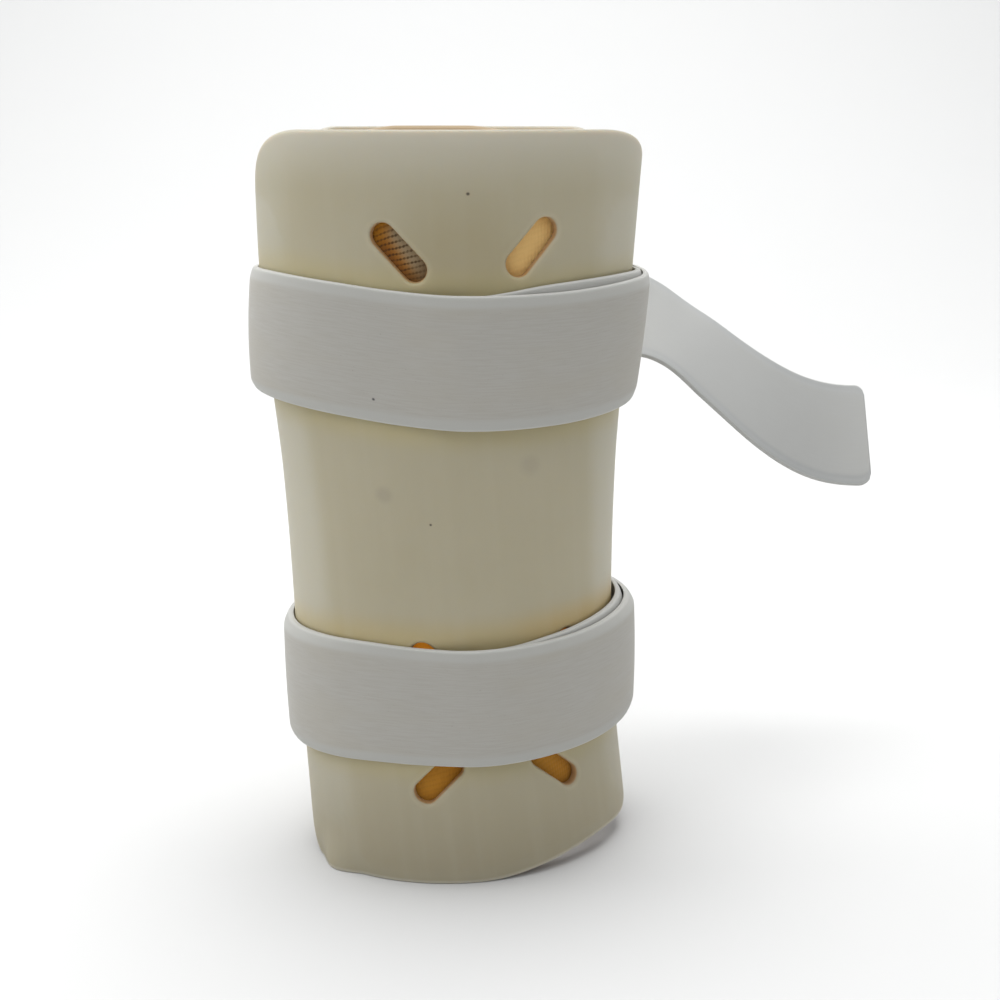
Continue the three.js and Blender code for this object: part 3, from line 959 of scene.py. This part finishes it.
def ivory_shell():
    """Natural polyethylene: waxy ivory, paler where two walls lie together, with light and shade painted in
    at its edges, slot lips, rim, slot walls and beside the straps.
    """
    finish = Finish("ivory_polyethylene")
    place = finish.note("place", "Vector")
    edge, lip, lap, lined, strap, amber_band = (
        finish.note(name) for name in ("edge", "lip", "lap", "lined", "strap", "amber_band")
    )
    cloud = finish.noise(place, 0.022, 3.0, 0.55)
    grain = finish.noise(place, 0.9, 2.0, 0.5)
    across, up, _ = finish.parts(place)
    draw_lines = finish.noise(finish.vector(across * 0.16, up * 0.006), 1.0, 2.0, 0.5)
    body = finish.mix(tint(172, 166, 144), tint(178, 172, 152), finish.fade(cloud, 0.3, 0.7))
    over_liner = finish.mix(body, tint(166, 157, 131), lined * 0.55)
    between_slots = finish.spot(place, wall_spot(4.0, 184.0), 26.0)
    deep = finish.mix(over_liner, tint(154, 142, 108), between_slots * 0.5)
    lapped = finish.mix(deep, tint(182, 178, 162), lap * 0.5)
    # Painted shade and glow: the shell is tinted yellower beside and under the straps, where they shade it
    # and pass light into it
    strap_edge_shade_and_glow = finish.mix(lapped, tint(178, 165, 118), strap * 0.55)
    # A warm amber tint along the lower strap's upper edge
    amber_banded = finish.mix(strap_edge_shade_and_glow, tint(176, 146, 88), amber_band * 0.55)
    foot_shade = finish.mix(amber_banded, tint(144, 135, 112), 0.6 * (1 - finish.fade(up, 2.0, 50.0)))
    # Painted light: the shell is painted paler towards its top rim
    rim_painted_light = finish.mix(foot_shade, tint(195, 192, 179), 0.55 * finish.fade(up, 203.0, 220.0))
    # Painted light: every edge is painted paler, as a glow of light through the thin translucent wall
    edge_painted_glow = finish.mix(rim_painted_light, tint(204, 199, 186), 0.5 * (1 - finish.fade(edge, 0.3, 1.6)))
    # Painted shade: the rim's top face is painted darker and greyer, so that it reads no brighter under the
    # light from above
    rim_top_shade = (1 - finish.fade(edge, 0.05, 0.55)) * finish.fade(up, 186.0, 206.0)
    rim_top_painted_shade = finish.mix(edge_painted_glow, tint(150, 146, 134), 0.9 * rim_top_shade)
    # Painted light: a faint paler glow round each slot's lip
    lip_painted_glow = finish.mix(rim_top_painted_shade, tint(190, 181, 156), 0.15 * (1 - finish.fade(lip, 0.8, 2.2)))
    # Painted light: the slot walls are painted amber, as lit by the knit behind them
    slot_wall_painted_glow = finish.mix(lip_painted_glow, tint(176, 124, 62), 0.65 * (1 - finish.fade(lip, 0.02, 0.3)))
    streaked = finish.mix(slot_wall_painted_glow, tint(186, 180, 162), 0.1 * finish.fade(draw_lines, 0.4, 0.8))
    # Two faint grey spots on the shell
    faint_spot = finish.spot(place, wall_spot(-26.6, 120.9), 3.4)
    faint_spot = faint_spot + 0.7 * finish.spot(place, wall_spot(21.9, 128.6), 4.2)
    faint_spotted = finish.mix(streaked, tint(128, 122, 110), faint_spot * 0.22)
    speck = finish.spot(place, wall_spot(6.2, 204.0), 0.62)
    speck = speck + finish.spot(place, wall_spot(-12.2, 112.6), 0.5)
    colour = finish.mix(faint_spotted, tint(62, 56, 50), speck * 0.9)
    rough = 0.42 + 0.12 * cloud + 0.06 * grain
    relief = finish.bump(cloud * 0.6 + grain * 0.4, 0.2, 0.00012)
    return finish.surface(
        {
            "Base Color": colour,
            "Roughness": rough,
            "Normal": relief,
            "IOR": 1.5,
            "Specular IOR Level": 0.3,
            "Subsurface Weight": 0.3,
            "Subsurface Radius": (1.0, 0.72, 0.42),
            "Subsurface Scale": 0.004,
        }
    )


def amber_knit():
    """Fine knit over thin foam: amber loops in slanting rows, small dark gaps, and a pale cut edge, with
    painted light and shade in and around the slots.
    """
    finish = Finish("amber_knit")
    place = finish.note("place", "Vector")
    edge = finish.note("edge")
    across, up, _ = finish.parts(place)
    wander = finish.noise(place, 0.12, 2.0) - 0.5
    wale_pitch, course_pitch, course_slope = 0.95, 1.6, 0.3
    wale = finish.sine((across + wander * 0.8) * (2 * np.pi / wale_pitch))
    course = finish.sine((up + wander * 1.6 - across * course_slope) * (2 * np.pi / course_pitch))
    loop = 0.5 + 0.25 * wale + 0.25 * course
    row = 0.5 + 0.12 * wale + 0.38 * course
    uneven = finish.fade(finish.noise(place, 0.8, 2.0), 0.25, 0.6)
    gap = (1 - finish.fade(row, 0.1, 0.5)) * (0.4 + 0.6 * uneven)
    patch = finish.noise(place, 0.03, 2.0)
    lit = finish.spot(place, wall_spot(25.0, 188.8), 17.0)
    left_slot = wall_spot(-14.0, 188.4)
    rows_painted_shade = finish.spot(place, left_slot, 13.0)
    in_slot = finish.spot(place, left_slot, 18.0)
    slot_across, slot_up = across - left_slot[0], up - left_slot[1]
    slot_right = slot_across * 0.87 + slot_up * 0.52
    slot_down = slot_across * 0.67 - slot_up * 0.74
    greyed = in_slot * finish.fade(slot_right, -2.6, 1.8) * finish.fade(slot_down, -9.0, -4.0)
    shaded = in_slot * (1 - finish.fade(slot_right, -2.8, 0.8)) * finish.fade(slot_down, -8.0, -3.0)
    dim_end = in_slot * finish.fade(slot_down, 3.0, 8.5)
    # Painted light: the knit at the lower slots' tips is painted bright amber and made to glow, as if light
    # came through the foam
    left_tip = finish.spot(place, wall_spot(-18.5, 75.5), 8.0)
    right_tip = finish.spot(place, wall_spot(33.0, 76.0), 7.0)
    tips = left_tip + 0.6 * right_tip
    dyed = finish.mix(tint(172, 114, 26), tint(180, 126, 42), finish.fade(patch, 0.35, 0.65))
    tips_painted_glow = finish.mix(dyed, tint(255, 200, 88), tips)
    # Greyer brown over the right side of the upper left slot
    greyer_right = finish.mix(tips_painted_glow, tint(150, 131, 101), greyed)
    # Painted shade: the upper left slot's left side is painted redder and darker, where its rim shades the
    # knit
    slot_side_painted_shade = finish.mix(greyer_right, tint(130, 80, 34), 0.8 * shaded)
    dim = finish.mix(slot_side_painted_shade, tint(98, 76, 48), 0.6 * dim_end)
    pale = finish.mix(dim, tint(232, 192, 124), lit)
    # The knit's own dark gaps, deepened near the upper left slot as painted shade and lessened where the
    # painted light falls
    looped = finish.mix(pale, tint(66, 44, 22), gap * (0.1 + 0.74 * rows_painted_shade) * (1 - 0.7 * lit))
    crest = finish.mix(tint(156, 139, 115), tint(208, 188, 156), finish.fade(edge, 0.1, 0.8))
    within = finish.fade(edge, 1.4, 4.0)
    colour = finish.mix(crest, looped, within)
    # Painted light: an amber glow from the tips on the outer face, though no lamp is there
    tips_painted_emission = finish.mix(tint(0, 0, 0), tint(124, 68, 0), tips * finish.note("outside"))
    fibre = finish.noise(place, 2.6, 2.0)
    relief = finish.bump(within * loop + 0.35 * fibre, 0.4, 0.0003)
    return finish.surface(
        {
            "Base Color": colour,
            "Roughness": 0.82 + 0.14 * fibre,
            "Normal": relief,
            "Emission Color": tips_painted_emission,
            "Emission Strength": 1.0,
            "Specular IOR Level": 0.25,
            "Sheen Weight": 0.15,
        }
    )


def white_tape():
    """Hook-and-loop tape: smooth woven edges and a brushed field with fine lengthwise fibres."""
    finish = Finish("white_loop_tape")
    tape = finish.note("tape", "Vector")
    turn = finish.note("turn")
    along, aside, face = finish.parts(tape)
    fold = finish.add("ShaderNodeMath", {"operation": "ABSOLUTE"}, {0: aside})
    free_end = finish.fade(along, 425.0, 455.0)
    field = (1 - finish.fade(fold, 14.6, 16.6)) * (1 - 0.8 * free_end)
    hem = finish.fade(fold, 18.2, 18.8)
    fibre = finish.noise(finish.vector(along * 0.12, aside * 2.4, face * 7), 1.0, 2.0, 0.5)
    fuzz = finish.noise(finish.vector(along * 1.6, aside * 1.9, face * 7), 1.0, 2.0, 0.6)
    cloud = finish.noise(finish.vector(along * 0.03, aside * 0.08, face * 7), 1.0, 2.0)
    woven = finish.mix(tint(171, 170, 165), tint(174, 174, 169), fuzz)
    brushed = finish.mix(tint(167, 164, 157), tint(171, 169, 163), finish.fade(fibre, 0.32, 0.68))
    clouded = finish.mix(brushed, tint(168, 164, 154), 0.5 * finish.fade(cloud, 0.42, 0.7))
    # The free end: a plainer weave, painted darker and cooler as painted shade, darkest towards its tip
    shaded_plain_end = finish.mix(woven, tint(159, 160, 159), free_end)
    shaded_end = finish.mix(shaded_plain_end, tint(151, 152, 151), finish.fade(along, 490.0, 555.0))
    colour = finish.mix(shaded_end, clouded, field)
    pit = finish.fade(fuzz, 0.64, 0.76) * field
    pitted = finish.mix(colour, tint(136, 132, 124), pit * 0.4)
    hemmed = finish.mix(pitted, tint(188, 188, 185), hem * 0.6)
    dot = finish.spot(finish.vector(turn * unroll, aside), wall_spot(334.9, -12.3), 0.55)
    marked = finish.mix(hemmed, tint(84, 84, 86), dot)
    relief = field * (0.05 * fibre + 0.4 * fuzz) + (1 - field) * 0.2
    return finish.surface(
        {
            "Base Color": marked,
            "Roughness": 0.65 + 0.2 * field,
            "Normal": finish.bump(relief, 0.2, 0.0003),
            "Specular IOR Level": 0.25,
            "Subsurface Weight": 0.2,
            "Subsurface Radius": (1.0, 0.95, 0.9),
            "Subsurface Scale": 0.002,
            "Sheen Weight": 0.1,
        }
    )


def pale_floor():
    finish = Finish("pale_floor")
    spread = finish.add("ShaderNodeTexCoord", output="Object")
    cloud = finish.noise(spread, 1.3, 2.0)
    colour = finish.mix(tint(196, 196, 195), tint(199, 199, 199), cloud)
    return finish.surface({"Base Color": colour, "Roughness": 0.8, "Specular IOR Level": 0.1})


# Pieces
def shell_piece(name, outline, slots, outer_stand, notes_at):
    return wall_piece(
        name, outline, slots, outer_stand, shell_wall, shell_edge_round, shell_spacing, notes_at
    )


def liner_piece(name, outline, outer_stand):
    return wall_piece(name, outline, [], outer_stand, liner_wall, liner_edge_round, liner_spacing, no_notes)


front_shell = shell_piece("front_shell", front_outline, front_slots, 0.0, front_notes)
back_shell = shell_piece("back_shell", back_outline, [], back_outer_stand, back_notes)
front_liner = liner_piece("front_liner", front_liner_outline, front_liner_stand)
back_liner = liner_piece("back_liner", back_liner_outline, back_liner_stand)
upper_strap = tape_piece("upper_strap", strap_upper_rows, upper_curl_rows, True)
lower_strap = tape_piece("lower_strap", strap_lower_rows, lower_curl_rows, False)

shell_material, knit_material, tape_material = ivory_shell(), amber_knit(), white_tape()
dressed = [
    (front_shell, "shell_front", "shell", shell_material),
    (back_shell, "shell_back", "shell", shell_material),
    (front_liner, "liner_front", "liner", knit_material),
    (back_liner, "liner_back", "liner", knit_material),
    (upper_strap, "strap_upper", "strap", tape_material),
    (lower_strap, "strap_lower", "strap", tape_material),
]
for piece, node, slot, material in dressed:
    piece.data.materials.append(material)
    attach(piece, "root")
    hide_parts(node)


# Stage: a wide pale floor, soft light from above, the left and behind, and the camera
def swept_floor():
    """A floor that sweeps up into a wall behind the brace."""
    half_width, front, back, sweep, wall_top = 3.0, -3.0, 0.8, 0.6, 2.4
    bend = np.radians(np.arange(0, 91, 7.5))
    depth = np.concatenate([[front], back + sweep * np.sin(bend), [back + sweep]])
    rise = np.concatenate([[0.0], sweep * (1 - np.cos(bend)), [wall_top]])
    points = [(side * half_width, y, z) for y, z in zip(depth, rise) for side in (-1, 1)]
    faces = [(at, at + 1, at + 3, at + 2) for at in range(0, len(points) - 2, 2)]
    mesh = bpy.data.meshes.new("studio_floor")
    mesh.from_pydata(points, [], faces)
    mesh.materials.append(pale_floor())
    mesh.shade_smooth()
    floor = bpy.data.objects.new("studio_floor", mesh)
    bpy.context.scene.collection.objects.link(floor)


swept_floor()


def softbox(name, place, aim, width, power):
    lamp = bpy.data.lights.new(name, "AREA")
    lamp.shape = "SQUARE"
    lamp.size = width
    lamp.energy = power
    box = bpy.data.objects.new(name, lamp)
    box.location = place
    box.rotation_euler = (Vector(aim) - Vector(place)).to_track_quat("-Z", "Y").to_euler()
    box.visible_camera = False
    bpy.context.scene.collection.objects.link(box)


brace_middle = (-0.043, -0.015, 0.11)
softbox("left_softbox", (-1.0, 0.25, 0.75), brace_middle, 0.9, 4.5)
softbox("right_softbox", (0.95, 0.45, 0.6), brace_middle, 0.8, 1.2)
softbox("overhead_softbox", (-0.1, 0.35, 1.5), brace_middle, 1.4, 16.0)
softbox("front_softbox", (-0.3, -0.75, 1.15), (-0.043, -0.015, 0.2), 0.8, 4.2)
softbox("backdrop_softbox", (0.0, 0.3, 1.9), (0.0, 1.4, 0.5), 1.2, 26.0)

world = bpy.data.worlds.new("studio")
world.use_nodes = True
background = world.node_tree.nodes["Background"]
background.inputs["Color"].default_value = (0.96, 0.98, 1.0, 1.0)
background.inputs["Strength"].default_value = 0.55
bpy.context.scene.world = world
bpy.context.scene.view_settings.view_transform = "Standard"

camera_place, camera_pitch = (15.3, -450.0, 223.5), 14.294
camera_data = bpy.data.cameras.new("camera")
camera_data.lens = 53.985
camera_data.sensor_width = 36.0
camera = bpy.data.objects.new("camera", camera_data)
camera.location = to_row(np.array(camera_place))
camera.rotation_euler = (np.radians(90 - camera_pitch), 0.0, 0.0)
bpy.context.scene.collection.objects.link(camera)
bpy.context.scene.camera = camera
